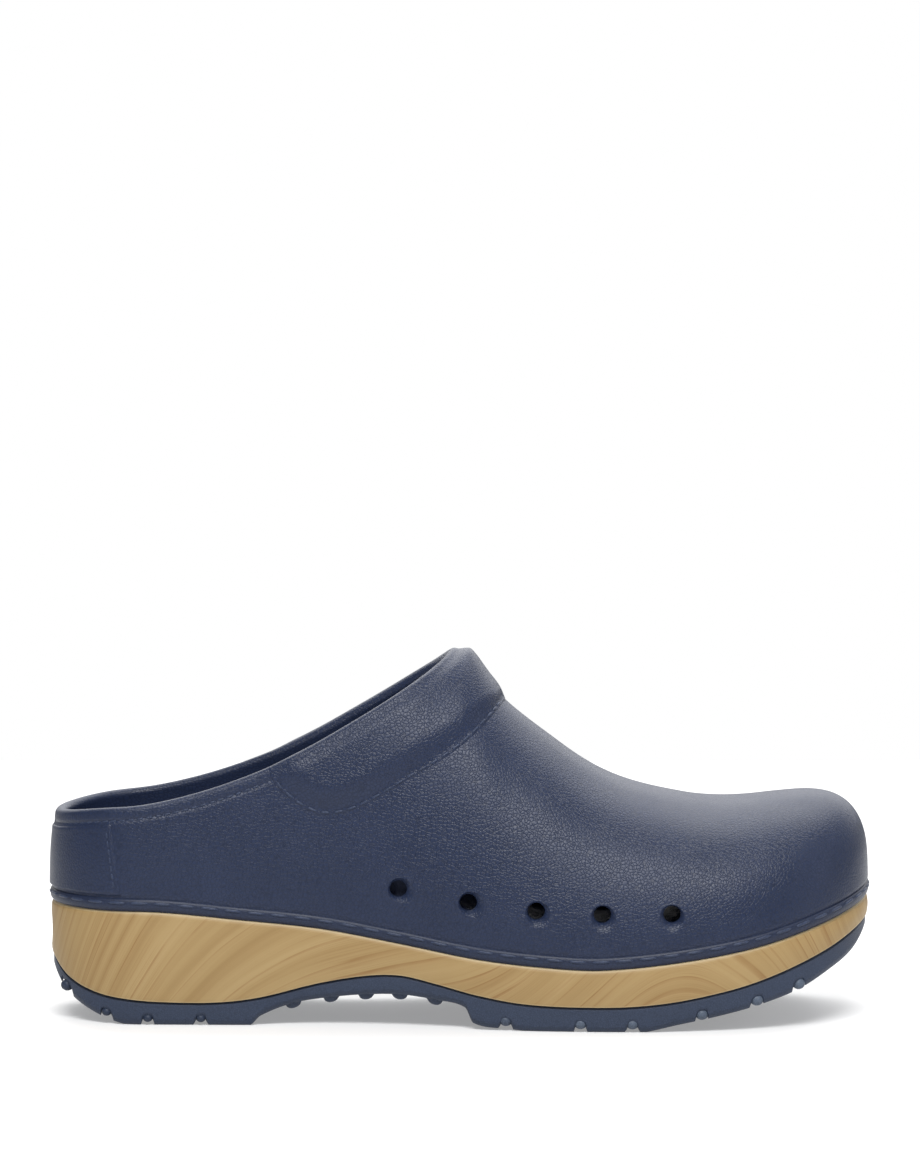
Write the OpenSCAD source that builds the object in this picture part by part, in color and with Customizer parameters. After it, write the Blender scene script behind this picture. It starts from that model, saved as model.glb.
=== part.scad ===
// Moulded garden clog, right foot: soft upper shell with a padded instep collar, heel counter and
// welt, on a wood-look midsole and a lugged outsole, with a lift-out footbed.
// +X points to the toe, +Y to the inner side of the foot and +Z up; z = 0 is the ground.

/* [Size] */
// Length over the sole, heel to toe
shoe_length = 270; // [250:1:290]
// Widest width of the sole, across the ball of the foot
ball_width = 101; // [94:1:108]
// Height of the top of the padded collar
collar_height = 120; // [114:1:124]

/* [Upper] */
// Thickness of the shell wall
wall = 3.6; // [3:0.2:4.4]
// Thickness of the shell floor under the footbed
floor_t = 3; // [2:0.5:4]
// Greatest thickness of the collar padding on the sides
side_pad = 2.6; // [2:0.2:3.4]
// Height of the collar padding on the instep
front_pad = 5; // [4:0.5:7]
// Height of the welt strip
welt_h = 4.2; // [3.4:0.2:5]
// Thickness of the heel counter
counter_t = 1; // [0.6:0.1:1.4]
// Diameter of the vent holes
vent_d = 5.6; // [4.4:0.2:6.4]

/* [Sole] */
// Depth of the tread grooves
groove_depth = 2.6; // [2:0.2:3.2]
// Width of the tread grooves
groove_w = 4; // [3.2:0.2:4.8]
// Diameter of the round nubs under the arch
nub_d = 5; // [4:0.5:6]
// Width of the heel badge
badge_w = 18; // [14:1:22]
// Height of the heel badge
badge_h = 10.6; // [9:0.2:12]

/* [Footbed] */
// Thickness of the footbed under the foot
footbed_t = 4.5; // [3.5:0.5:6]
// Clearance between the footbed and the shell wall
footbed_gap = 1.5; // [1.4:0.1:1.8]

/* [Hidden] */
$fn = 48;

navy = [0.2, 0.24, 0.36];
tread_navy = [0.22, 0.28, 0.38];
wood = [0.69, 0.58, 0.39];

half_length = shoe_length / 2;
// Bond line between pieces that are glued together
glue = 0.15;
// Air under the loose footbed, and how far its raised edge leans in
seat_gap = 0.3;
footbed_lean = 0.8;
// How far each piece stands in from the outline of the clog
welt_inset = 0.05;
welt_inner = 0.8;
shell_inset = 0.95;
midsole_inset = 0.5;
outsole_inset = 1.1;
inner_inset = shell_inset + wall;
footbed_inset = inner_inset + footbed_gap;

// Every table below is [station, value]: the station is in percent of the length from the heel.
// Half widths of the sole, outward from the centre line, in percent of the ball width
outer_side = [[0, 33.5], [12, 34], [22, 34.8], [34, 35.8], [46, 41.5], [58, 48.5], [67, 52], [76, 53.5],
    [85, 53], [100, 51]];
inner_side = [[0, 33.5], [12, 33.5], [22, 32.5], [34, 31.5], [46, 34.5], [58, 41.5], [68, 47], [77, 47.5],
    [86, 46], [100, 43]];
// Centre line, outward shift towards the inner side, in millimetres
centre_line = [[0, 0], [40, 0], [60, 0.5], [76, 3], [88, 5.5], [100, 7]];
// Heights in millimetres: top of the midsole, joint between midsole and outsole, and the tread
sole_top = [[0, 38], [6, 37.4], [14, 37], [23, 34.8], [33, 32], [42.5, 27.7], [52, 23.1], [61, 20.8],
    [67, 20.3], [76, 22.7], [85.5, 27.3], [94, 34], [100, 39.8]];
sole_split = [[0, 22], [2.5, 14.8], [6, 10.4], [10, 8.4], [15, 7.5], [21, 7.6], [26, 9.3], [33, 14],
    [39, 16.8], [43, 17], [47, 14.7], [52, 11.3], [58, 8.8], [66, 8.1], [72, 8.7], [78, 11], [85.5, 16],
    [94, 24.9], [100, 33.4]];
tread = [[0, 17], [2.3, 9.3], [6, 3.2], [10, -0.2], [17, -1], [24.6, -0.3], [26, 3], [30, 7.2], [35, 9.4],
    [39, 10.4], [43, 10.6], [47, 9.2], [50.6, 7], [51.6, 2], [56, 0.4], [60, -0.4], [66, -0.8],
    [71.5, -0.3], [76, 2.2], [81, 5], [85.5, 8], [90.5, 12.4], [94.5, 17.9], [97.5, 22.8], [100, 29.6]];
// Ridge of the upper, drawn on over the opening as if the shell were closed there
ridge_line = [[0, 132], [22, 133], [32, 132], [42, 127], [48, 118.6], [52, 112.4], [56, 101.9],
    [60.5, 92.3], [65.5, 82.7], [70.5, 76.4], [77.5, 71.8], [81.5, 70.7], [85, 70.9], [89, 72],
    [93, 72.8], [100, 73]];
// Edge of the opening, and the lower edge of the collar
rim_line = [[0, 67.6], [6, 70.1], [12, 71.8], [17, 74.7], [22, 78.8], [27, 84], [32, 90.5], [37, 98.2],
    [42, 106.4], [48, 117], [52, 124]];
collar_edge = [[27, 81], [28.2, 76.5], [30.6, 71.2], [33.6, 68.2], [37.6, 70.2], [44, 80], [50, 90],
    [55.4, 103]];
// Roundness of the cross-sections: exponent across and exponent upward
across_power = [[0, 2.3], [35, 2.3], [50, 2.15], [60, 2.2], [75, 2.5], [100, 2.5]];
upward_power = [[0, 2.1], [40, 2], [60, 2], [78, 2.3], [100, 2.4]];
// Padding of the collar on the instep, as a share of front_pad
ridge_pad = [[47, 0.95], [50, 0.95], [52, 0.76], [53.4, 0.54], [54.6, 0.28], [55.4, 0.12]];
// Height of the footbed's raised edge above the shell floor
footbed_edge = [[0, 15], [12, 15], [30, 16], [44, 18.5], [54, 9], [64, 5.5], [100, 5]];

// Length over which each end closes in plan and in height, and how squarely
heel_plan = [34, 2.2];
toe_plan = [52, 2.35];
heel_rise = [34, 2.2];
toe_rise = [28, 3.8];

function station(x) = 50 + 100 * x / shoe_length;
function at(percent) = (percent - 50) * shoe_length / 100;
function mix(a, b, t) = a + (b - a) * t;

// Smooth curve through a table of [position, value]
function span_of(p, x, i = 0) = i >= len(p) - 2 || x < p[i + 1][0] ? i : span_of(p, x, i + 1);
function steepness(p, i) =
    let (a = max(i - 1, 0), b = min(i + 1, len(p) - 1))
    (p[b][1] - p[a][1]) / (p[b][0] - p[a][0]);
function curve(p, x) =
    let (i = span_of(p, x), h = p[i + 1][0] - p[i][0], t = (x - p[i][0]) / h)
    mix(p[i][1], p[i + 1][1], t * t * (3 - 2 * t))
        + h * t * (1 - t) * ((1 - t) * steepness(p, i) - t * steepness(p, i + 1));

// Share of the full size that is left near an end: 1 in the middle, 0 at the very end
function closing(x, inset, heel, toe) =
    let (end = x < 0 ? heel : toe, d = (abs(x) - (half_length - inset - end[0])) / end[0])
    d <= 0 ? 1 : pow(max(0, 1 - pow(min(d, 1), end[1])), 1 / end[1]);

function centre(x) = curve(centre_line, station(x));
function half_width(x, side, inset) =
    (curve(side < 0 ? outer_side : inner_side, station(x)) * ball_width / 100 - inset)
        * closing(x, inset, heel_plan, toe_plan);
function top_z(x) = curve(sole_top, station(x));
function split_z(x) = curve(sole_split, station(x));
function tread_z(x) = max(0, curve(tread, station(x)));
function rim_z(x) = curve(rim_line, station(x)) * collar_height / 120;
function rise(x, inset) =
    (curve(ridge_line, station(x)) * collar_height / 120 - top_z(x) - inset + shell_inset)
        * closing(x, inset, heel_rise, toe_rise);

// Point of the upper: t is 0 at the sole and 90 on the ridge, base lifts the foot of the section
function skin(x, t, side, inset, base = 0) =
    let (n = curve(across_power, station(x)), m = curve(upward_power, station(x)))
    [x, centre(x) + side * half_width(x, side, inset) * pow(max(0, cos(t)), 2 / n),
     top_z(x) + base + (rise(x, inset) - base) * pow(sin(t), 2 / m)];
// Value of t at which the upper reaches the height z
function t_at(x, z, inset, base = 0) =
    let (q = (z - top_z(x) - base) / max(0.01, rise(x, inset) - base))
    q >= 1 ? 90 : asin(pow(max(0, q), curve(upward_power, station(x)) / 2));
function rim_t(x) = t_at(x, rim_z(x), shell_inset);

// Root of a function that changes sign between a and b
function root(f, a, b, n = 24) =
    let (m = (a + b) / 2)
    n == 0 ? m : sign(f(m)) == sign(f(a)) ? root(f, m, b, n - 1) : root(f, a, m, n - 1);
function open_margin(x) = top_z(x) + rise(x, shell_inset) - rim_z(x);
// Front and back ends of the opening
throat_x = root(function(x) open_margin(x), at(35), at(60));
back_x = root(function(x) open_margin(x), -half_length + shell_inset, at(6));

// Places along the shell: closed heel, open part, closed vamp; closer together at the ends
first_x = -half_length + shell_inset + 0.03;
last_x = half_length - shell_inset - 0.02;
heel_steps = 2;
open_steps = 28;
vamp_steps = 26;
shell_x = concat(
    [for (i = [0:heel_steps - 1]) mix(first_x, back_x, i / heel_steps)],
    [for (i = [0:open_steps - 1]) mix(back_x, throat_x, (1 - cos(180 * i / open_steps)) / 2)],
    [for (i = [0:vamp_steps]) mix(throat_x, last_x, sin(90 * i / vamp_steps))]);
open_from = heel_steps;
open_to = heel_steps + open_steps;
wall_steps = 9;

// One cross-section of the shell: outside up and inside down on the outer side, then the same back
function shell_ring(x) =
    let (k = (half_length - inner_inset) / (half_length - shell_inset), inner_x = x * k, tr = rim_t(x))
    concat(
        [for (j = [0:wall_steps]) skin(x, tr * j / wall_steps, -1, shell_inset)],
        [for (j = [wall_steps:-1:0]) skin(inner_x, tr * j / wall_steps, -1, inner_inset, floor_t)],
        [for (j = [0:wall_steps]) skin(inner_x, tr * j / wall_steps, 1, inner_inset, floor_t)],
        [for (j = [wall_steps:-1:0]) skin(x, tr * j / wall_steps, 1, shell_inset)]);

module shell_body() {
    rows = len(shell_x);
    run = wall_steps + 1;
    ring = 4 * run;
    function open(i) = i > open_from && i < open_to;
    // Where the section is closed, the two sides share their ridge points
    function id(i, k) =
        let (kk = open(i) ? k : k == 3 * run ? run - 1 : k == 3 * run - 1 ? run : k)
        i * ring + kk % ring;
    function rim_edge(k) = k == run - 1 || k == 3 * run - 1;
    points = [for (x = shell_x) each shell_ring(x)];
    walls = [for (i = [0:rows - 2], k = [0:ring - 1])
        if (!rim_edge(k) || open(i) || open(i + 1))
        each [[id(i, k), id(i, k + 1), id(i + 1, k)], [id(i, k + 1), id(i + 1, k + 1), id(i + 1, k)]]];
    ends = [for (i = [0, rows - 1], loop = [
        [for (k = [0:run - 1]) id(i, k), for (k = [3 * run + 1:ring - 1]) id(i, k)],
        [for (k = [run:3 * run - 2]) id(i, k)]])
        i == 0 ? [for (q = [len(loop) - 1:-1:0]) loop[q]] : loop];
    faces = [for (f = concat(walls, ends)) if (f[0] != f[1] && f[1] != f[2] && f[2] != f[0]) f];
    polyhedron(points, faces);
}

// Vents on each side: station and height
vents = [[42.6, 45.2], [51, 41.3], [59.1, 38.9], [67, 38], [75.3, 38.2]];
vent_reach = 14;
module vent_bores() {
    for (v = vents, side = [-1, 1])
        let (x = at(v[0]), y = skin(x, t_at(x, v[1], shell_inset), side, shell_inset)[1])
        translate([x, y + side * vent_reach / 4, v[1]]) rotate([side * 90, 0, 0])
            cylinder(d = vent_d, h = vent_reach);
}

module upper_shell() {
    color(navy) difference() {
        shell_body();
        vent_bores();
    }
}

// Solid between two sheets of points, given as rows of equal length; the sheets share no point
module padded_sheet(under, over) {
    rows = len(under);
    cols = len(under[0]);
    count = rows * cols;
    function id(i, j) = i * cols + j;
    loop = concat(
        [for (j = [0:cols - 1]) id(0, j)], [for (i = [1:rows - 1]) id(i, cols - 1)],
        [for (j = [cols - 2:-1:0]) id(rows - 1, j)], [for (i = [rows - 2:-1:1]) id(i, 0)]);
    cells = [for (i = [0:rows - 2], j = [0:cols - 2]) [i, j]];
    polyhedron(
        [for (r = under) each r, for (r = over) each r],
        concat(
            [for (c = cells) each let (a = id(c[0], c[1]), b = id(c[0] + 1, c[1]))
                [[a, a + 1, b], [a + 1, b + 1, b]]],
            [for (c = cells) each let (a = count + id(c[0], c[1]), b = count + id(c[0] + 1, c[1]))
                [[a, b, a + 1], [a + 1, b, b + 1]]],
            [for (k = [0:len(loop) - 1]) each let (a = loop[k], b = loop[(k + 1) % len(loop)])
                [[a, count + a, b], [b, count + a, count + b]]]));
}

// The collar is two wings, one on each side, that meet along the ridge in front of the throat
collar_cols = 8;
wing_rows = 14;
bridge_rows = 8;
collar_back = at(27);
collar_front = at(55);
edge_pad = 0.5;
function collar_thickness(x, w) =
    let (s = station(x), padded = front_pad * curve(ridge_pad, min(max(s, 47), 55.4)),
         to_front = pow(min(1, max(0, (s - 38) / 10)), 2), crown = sin(180 * (0.12 + 0.68 * w)))
    mix(edge_pad + (side_pad - edge_pad) * crown, edge_pad + (padded - edge_pad) * pow(crown, 0.6),
        to_front * w);
function collar_point(x, side, w, lift) =
    let (low = t_at(x, curve(collar_edge, station(x)), shell_inset), high = rim_t(x))
    skin(x, mix(min(low, high - 0.5), high, w), side, shell_inset - glue - lift);
module instep_collar() {
    xs = concat([for (i = [0:wing_rows]) mix(collar_back, throat_x, sin(90 * i / wing_rows))],
        [for (i = [1:bridge_rows]) mix(throat_x, collar_front, i / bridge_rows)]);
    function sheet(side, padded) = [for (x = xs) [for (j = [0:collar_cols])
        collar_point(x, side, j / collar_cols, padded ? collar_thickness(x, j / collar_cols) : 0)]];
    color(navy) {
        padded_sheet(sheet(1, false), sheet(1, true));
        padded_sheet(sheet(-1, true), sheet(-1, false));
    }
}

// The heel counter wraps the back of the shell: s runs from -1 to 1 round the heel
counter_z = [43.2, 65];
counter_reach = [9.4, 8.1];
function heel_point(s, up, inset) =
    let (z = mix(counter_z[0], counter_z[1], up),
         back = root(function(x) top_z(x) + rise(x, inset) - z, -half_length + inset, at(9)),
         x = mix(back, at(mix(counter_reach[0], counter_reach[1], up)), s * s))
    skin(x, t_at(x, z, inset), s < 0 ? -1 : 1, inset);
module heel_counter() {
    s_steps = 20;
    z_steps = 6;
    function sheet(inset) =
        [for (i = [-s_steps:s_steps]) [for (k = [0:z_steps]) heel_point(i / s_steps, k / z_steps, inset)]];
    color(navy) padded_sheet(sheet(shell_inset - glue - counter_t), sheet(shell_inset - glue));
}

// Plan outline of the sole at an inset
outline_steps = 60;
function outline(inset) =
    let (end = half_length - inset,
         xs = [for (i = [1:outline_steps - 1]) -end * cos(180 * i / outline_steps)])
    concat([[-end, centre(-end)]], [for (x = xs) [x, centre(x) - half_width(x, -1, inset)]],
        [[end, centre(end)]], [for (i = [len(xs) - 1:-1:0])
            [xs[i], centre(xs[i]) + half_width(xs[i], 1, inset)]]);
// Everything between two heights that vary along the length, given as functions of x
module between(low, high, inset) {
    steps = 90;
    xs = [for (i = [0:steps]) mix(-half_length, half_length, i / steps)];
    intersection() {
        linear_extrude(height = 100) polygon(outline(inset));
        rotate([90, 0, 0]) linear_extrude(height = 140, center = true)
            polygon(concat([for (x = xs) [x, low(x)]], [for (i = [steps:-1:0]) [xs[i], high(xs[i])]]));
    }
}

module welt() {
    color(navy) difference() {
        between(function(x) top_z(x), function(x) top_z(x) + welt_h, welt_inset);
        linear_extrude(height = 100) polygon(outline(welt_inner));
    }
}

// The badge lies in a shallow oval recess at the back of the midsole
badge_z = 28.6;
badge_recess = midsole_inset + 1.4;
badge_t = 0.9;
module badge_disc(grow, back, thick) {
    translate([-half_length + back, 0, badge_z]) rotate([0, 90, 0]) linear_extrude(height = thick)
        for (y = [-1, 0, 1]) translate([0, y * (badge_w - badge_h) / 2])
            if (y == 0) square([badge_h + grow, badge_w - badge_h], center = true);
            else circle(d = badge_h + grow);
}
module midsole() {
    color(wood) difference() {
        between(function(x) split_z(x), function(x) top_z(x) - glue, midsole_inset);
        badge_disc(0.6, -1, badge_recess + 1);
    }
}
module heel_badge() {
    color(wood) badge_disc(0, badge_recess - glue - badge_t, badge_t);
}

// Notches across the tread, half-round in section, and the two lengthwise grooves of each tread
heel_notches = [2.4, 7.4, 12.4, 18.8];
fore_notches = [55.5, 64.4, 70.6, 78.9, 85.5, 90.6];
lengthwise = [[[4.5, 22.5], 14], [[57, 88], 17]];
module tread_grooves() {
    for (s = concat(heel_notches, fore_notches))
        let (x = at(s), z = tread_z(x) + groove_depth - groove_w / 2)
        translate([x, 0, z]) {
            rotate([90, 0, 0]) cylinder(d = groove_w, h = 140, center = true);
            translate([-groove_w / 2, -70, -10]) cube([groove_w, 140, 10]);
        }
    for (g = lengthwise, side = [-1, 1])
        let (x0 = at(g[0][0]), x1 = at(g[0][1]), y = centre((x0 + x1) / 2) + side * g[1])
        intersection() {
            translate([x0, y - groove_w / 2, 0]) cube([x1 - x0, groove_w, 60]);
            between(function(x) tread_z(x) - 2, function(x) tread_z(x) + groove_depth, -2);
        }
}
// Round nubs under the arch, standing down from it
arch_nubs = [[30, 34.5, 38.7, 42.8, 47], [-26, -13, 0, 13, 26]];
module outsole() {
    color(tread_navy) {
        difference() {
            between(function(x) curve(tread, station(x)), function(x) split_z(x), outsole_inset);
            tread_grooves();
        }
        for (s = arch_nubs[0], y = arch_nubs[1])
            translate([at(s), y, tread_z(at(s)) - 1.6]) cylinder(d = nub_d, h = 4);
    }
}

// The footbed follows the inside of the shell with a clearance, and cups the heel and the arch
footbed_side_steps = 3;
footbed_top_steps = 16;
function footbed_ring(x) =
    let (base = floor_t + seat_gap, room = rise(x, footbed_inset) - base,
         edge = min(curve(footbed_edge, station(x)), 0.93 * room),
         te = t_at(x, top_z(x) + base + edge, footbed_inset, base),
         lean = footbed_lean * closing(x, footbed_inset, heel_plan, toe_plan),
         sides = [for (side = [-1, 1]) [for (j = [0:footbed_side_steps])
             skin(x, te * j / footbed_side_steps, side, footbed_inset, base)
                 - [0, side * lean * j / footbed_side_steps, 0]]],
         a = sides[0][footbed_side_steps][1], b = sides[1][footbed_side_steps][1],
         thick = min(footbed_t, edge))
    concat(sides[0],
        [for (k = [1:footbed_top_steps - 1]) let (q = -cos(180 * k / footbed_top_steps))
            [x, mix(a, b, (1 + q) / 2), top_z(x) + base + thick + (edge - thick) * pow(abs(q), 7)]],
        [for (j = [footbed_side_steps:-1:0]) sides[1][j]]);
module footbed() {
    end = half_length - footbed_inset;
    steps = 44;
    rings = [for (i = [0:steps]) footbed_ring(-(end - 0.15) * cos(180 * i / steps))];
    n = len(rings[0]);
    color(navy) polyhedron([for (r = rings) each r], concat(
        [for (i = [0:steps - 1], k = [0:n - 1]) each let (a = i * n + k, b = i * n + (k + 1) % n)
            [[a, b, a + n], [b, b + n, a + n]]],
        [[for (k = [n - 1:-1:0]) k], [for (k = [0:n - 1]) steps * n + k]]));
}

upper_shell();
instep_collar();
heel_counter();
welt();
midsole();
heel_badge();
outsole();
footbed();
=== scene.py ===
"""Garden clog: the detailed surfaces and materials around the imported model.

Shapes are worked out in millimetres and made into meshes in metres. +X is the toe, +Y the inner side
of the foot, z = 0 the ground. A station is a place along the clog, in percent from the heel.
"""

import math

import bmesh
import bpy
import numpy as np
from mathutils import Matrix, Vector
from mathutils.kdtree import KDTree


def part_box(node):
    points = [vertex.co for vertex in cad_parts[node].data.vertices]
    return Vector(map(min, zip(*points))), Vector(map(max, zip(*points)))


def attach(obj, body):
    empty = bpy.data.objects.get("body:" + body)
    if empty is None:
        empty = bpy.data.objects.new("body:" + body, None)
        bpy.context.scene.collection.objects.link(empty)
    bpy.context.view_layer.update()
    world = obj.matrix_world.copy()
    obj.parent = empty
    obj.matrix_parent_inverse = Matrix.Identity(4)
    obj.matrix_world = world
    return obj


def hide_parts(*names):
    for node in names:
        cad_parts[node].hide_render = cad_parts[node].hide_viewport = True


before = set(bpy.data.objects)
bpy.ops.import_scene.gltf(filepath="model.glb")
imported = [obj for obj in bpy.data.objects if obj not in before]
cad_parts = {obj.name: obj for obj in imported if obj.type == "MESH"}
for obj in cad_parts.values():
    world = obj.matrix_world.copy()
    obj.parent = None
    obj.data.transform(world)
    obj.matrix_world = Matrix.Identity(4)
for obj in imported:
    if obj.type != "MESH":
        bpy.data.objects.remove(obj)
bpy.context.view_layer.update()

# ---------------------------------------------------------------- sizes, in millimetres
# Insets are measured inwards from the widest outline, whose half length is HALF
WELT_INSET = 0.05
WELT_INNER = 0.8
SHELL_INSET = 0.95
MIDSOLE_INSET = 0.5
OUTSOLE_INSET = 1.1
HALF = 500 * (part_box("welt")[1].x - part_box("welt")[0].x) + WELT_INSET
BALL_WIDTH = 101.0
WALL = 3.6
FLOOR = 3.0
WELT_H = 4.2
ROLL = WALL / 2
VENT_R = 2.8
FOOTBED_INSET = SHELL_INSET + WALL + 1.5
SEAT = FLOOR + 0.3
NOTCH_DEPTH = 2.2
NOTCH_WIDTH = 4.0
BADGE_W = 18.0
BADGE_H = 10.6
BADGE_Z = 28.6

# Tables of [station, value]: half widths in percent of the ball width, the rest in millimetres
OUTER_SIDE = [[0, 33.5], [12, 34], [22, 34.8], [34, 35.8], [46, 41.5], [58, 48.5], [67, 52], [76, 53.5],
              [85, 53], [100, 51]]
INNER_SIDE = [[0, 33.5], [12, 33.5], [22, 32.5], [34, 31.5], [46, 34.5], [58, 41.5], [68, 47], [77, 47.5],
              [86, 46], [100, 43]]
CENTRE_LINE = [[0, 0], [40, 0], [60, 0.5], [76, 3], [88, 5.5], [100, 7]]
SOLE_TOP = [[0, 38], [6, 37.4], [14, 37], [23, 34.8], [33, 32], [42.5, 27.7], [52, 23.1], [61, 20.8],
            [67, 20.3], [76, 22.7], [85.5, 27.3], [94, 34], [100, 39.8]]
SOLE_SPLIT = [[0, 22], [2.5, 14.8], [6, 10.4], [10, 8.4], [15, 7.5], [21, 7.6], [26, 9.3], [33, 14],
              [39, 16.8], [43, 17], [47, 14.7], [52, 11.3], [58, 8.8], [66, 8.1], [72, 8.7], [78, 11],
              [85.5, 16], [94, 24.9], [100, 33.4]]
TREAD = [[0, 17], [2.3, 9.3], [6, 3.2], [10, -0.2], [17, -1], [24.6, -0.3], [26, 3], [30, 7.2], [35, 9.4],
         [39, 10.4], [43, 10.6], [47, 9.2], [50.6, 7], [51.6, 2], [56, 0.4], [60, -0.4], [66, -0.8],
         [71.5, -0.3], [76, 2.2], [81, 5], [85.5, 8], [90.5, 12.4], [94.5, 17.9], [97.5, 22.8], [100, 29.6]]
RIDGE = [[0, 132], [22, 133], [32, 132], [42, 127], [48, 118.6], [52, 112.4], [56, 101.9], [60.5, 92.3],
         [65.5, 82.7], [70.5, 76.4], [77.5, 71.8], [81.5, 70.7], [85, 70.9], [89, 72], [93, 72.8],
         [100, 73]]
RIM = [[0, 67.6], [6, 70.1], [12, 71.8], [17, 74.7], [22, 78.8], [27, 84], [32, 90.5], [37, 98.2],
       [42, 106.4], [48, 117], [52, 124]]
COLLAR_EDGE = [[27, 81], [28.2, 76.5], [30.6, 71.2], [33.6, 68.2], [37.6, 70.2], [44, 80], [50, 90],
               [55.4, 103]]
ACROSS = [[0, 2.3], [35, 2.3], [50, 2.15], [60, 2.2], [75, 2.5], [100, 2.5]]
UPWARD = [[0, 2.1], [40, 2], [60, 2], [78, 2.3], [100, 2.4]]
RIDGE_PAD = [[47, 4.7], [48.5, 5.6], [50, 6.5], [51.2, 5.5], [52, 4.5], [53, 3.7], [53.7, 3.4], [54.5, 2.6],
             [55.4, 0.6]]
FOOTBED_EDGE = [[0, 15], [12, 15], [30, 16], [44, 18.5], [54, 9], [64, 5.5], [100, 5]]
VENTS = [[42.6, 45.2], [51, 41.3], [59.1, 38.9], [67, 38], [75.3, 38.2]]
HEEL_NOTCHES = [2.4, 7.4, 12.4, 18.8]
FORE_NOTCHES = [55.5, 64.4, 70.6, 78.9, 85.5, 90.6]
# Lengthways tread grooves: the stations of their ends, and how far from the middle they run
LONG_GROOVES = [(4.5, 22.5, 14), (57, 88, 17)]
# Stations of the rows of nubs under the arch
NUB_ROWS = [30, 34.5, 38.7, 42.8, 47]
# Stations of the heel counter's front edge, at its foot and at its top
COUNTER_REACH = (9.4, 8.1)

# Length over which each end closes in plan and in height, and how squarely
HEEL_PLAN = (34, 2.2)
TOE_PLAN = (52, 2.35)
HEEL_RISE = (34, 2.2)
TOE_RISE = (28, 3.8)


# ---------------------------------------------------------------- the shape as formulas
def station(x):
    """Station of a place along the clog."""
    return 50 + 50 * np.asarray(x, float) / HALF


def at(percent):
    """Place along the clog of a station."""
    return (percent - 50) * HALF / 50


def curve(table, s):
    """Smooth curve through [position, value] pairs."""
    p = np.asarray(table, float)
    s = np.clip(np.asarray(s, float), p[0, 0], p[-1, 0])
    i = np.clip(np.searchsorted(p[:, 0], s, side="right") - 1, 0, len(p) - 2)
    before = np.maximum(np.arange(len(p)) - 1, 0)
    after = np.minimum(np.arange(len(p)) + 1, len(p) - 1)
    slope = (p[after, 1] - p[before, 1]) / (p[after, 0] - p[before, 0])
    h = p[i + 1, 0] - p[i, 0]
    t = (s - p[i, 0]) / h
    blend = t * t * (3 - 2 * t)
    bend = h * t * (1 - t) * ((1 - t) * slope[i] - t * slope[i + 1])
    return p[i, 1] + (p[i + 1, 1] - p[i, 1]) * blend + bend


def smooth(a, b, v):
    """0 below a, 1 above b, and smooth between."""
    t = np.clip((np.asarray(v, float) - a) / (b - a), 0, 1)
    return t * t * (3 - 2 * t)


def closing(x, inset, heel, toe):
    """Share of the full size left near an end: 1 in the middle, 0 at the very end."""
    x = np.asarray(x, float)
    length = np.where(x < 0, heel[0], toe[0])
    power = np.where(x < 0, heel[1], toe[1])
    d = np.clip((np.abs(x) - (HALF - inset - length)) / length, 0, 1)
    return np.maximum(0, 1 - d**power) ** (1 / power)


def centre(x):
    return curve(CENTRE_LINE, station(x))


def half_width(x, side, inset):
    table = np.where(side < 0, curve(OUTER_SIDE, station(x)), curve(INNER_SIDE, station(x)))
    return (table * BALL_WIDTH / 100 - inset) * closing(x, inset, HEEL_PLAN, TOE_PLAN)


def top_z(x):
    return curve(SOLE_TOP, station(x))


def rim_z(x):
    return curve(RIM, station(x)) - ROLL


def rise(x, inset):
    full = curve(RIDGE, station(x)) - top_z(x) - inset + SHELL_INSET
    return full * closing(x, inset, HEEL_RISE, TOE_RISE)


def skin(x, t, side):
    """Point of the upper: t is 0 at the sole and pi/2 on the ridge."""
    n, m = curve(ACROSS, station(x)), curve(UPWARD, station(x))
    y = centre(x) + side * half_width(x, side, SHELL_INSET) * np.maximum(0, np.cos(t)) ** (2 / n)
    z = top_z(x) + rise(x, SHELL_INSET) * np.sin(t) ** (2 / m)
    return np.stack(np.broadcast_arrays(x, y, z), -1)


def t_at(x, z):
    """The parameter t of the upper's wall at a height."""
    q = (z - top_z(x)) / np.maximum(0.01, rise(x, SHELL_INSET))
    return np.arcsin(np.clip(q, 0, 1) ** (curve(UPWARD, station(x)) / 2))


def fullness(p):
    """1 on the surface of the upper, less inside it and more outside."""
    x, y, z = p[..., 0], p[..., 1], p[..., 2]
    n, m = curve(ACROSS, station(x)), curve(UPWARD, station(x))
    side = np.where(y < centre(x), -1, 1)
    w = np.maximum(half_width(x, side, SHELL_INSET), 1e-4)
    h = np.maximum(rise(x, SHELL_INSET), 1e-4)
    return (np.abs(y - centre(x)) / w) ** n + (np.maximum(z - top_z(x), 0) / h) ** m


def unit(v):
    return v / np.maximum(np.linalg.norm(v, axis=-1, keepdims=True), 1e-12)


def out(p):
    """Outward direction of the upper at points on its surface."""
    edge = HALF - SHELL_INSET - 0.004
    p = p.copy()
    p[..., 0] = np.clip(p[..., 0], -edge, edge)
    step = 0.002
    grad = [fullness(p + step * e) - fullness(p - step * e) for e in np.eye(3)]
    return unit(np.stack(grad, -1))


def root(f, a, b):
    """Place between a and b where f changes sign."""
    fa = f(a)
    for _ in range(40):
        m = (a + b) / 2
        if (f(m) > 0) == (fa > 0):
            a = m
        else:
            b = m
    return (a + b) / 2


def open_margin(x):
    """How far the closed ridge would stand above the rim of the mouth."""
    return float(top_z(x) + rise(x, SHELL_INSET) - rim_z(x))


THROAT_X = root(open_margin, at(35), at(60))
BACK_X = root(open_margin, -HALF + SHELL_INSET, at(6))


def heel_end(height, start):
    """Where the back of the upper reaches a height, given as a function of x."""
    return root(lambda x: float(top_z(x) + rise(x, SHELL_INSET) - height(x)), start, at(9))

COLLAR_BACK = at(COLLAR_EDGE[0][0])
COLLAR_TIP = at(COLLAR_EDGE[-1][0])


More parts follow.
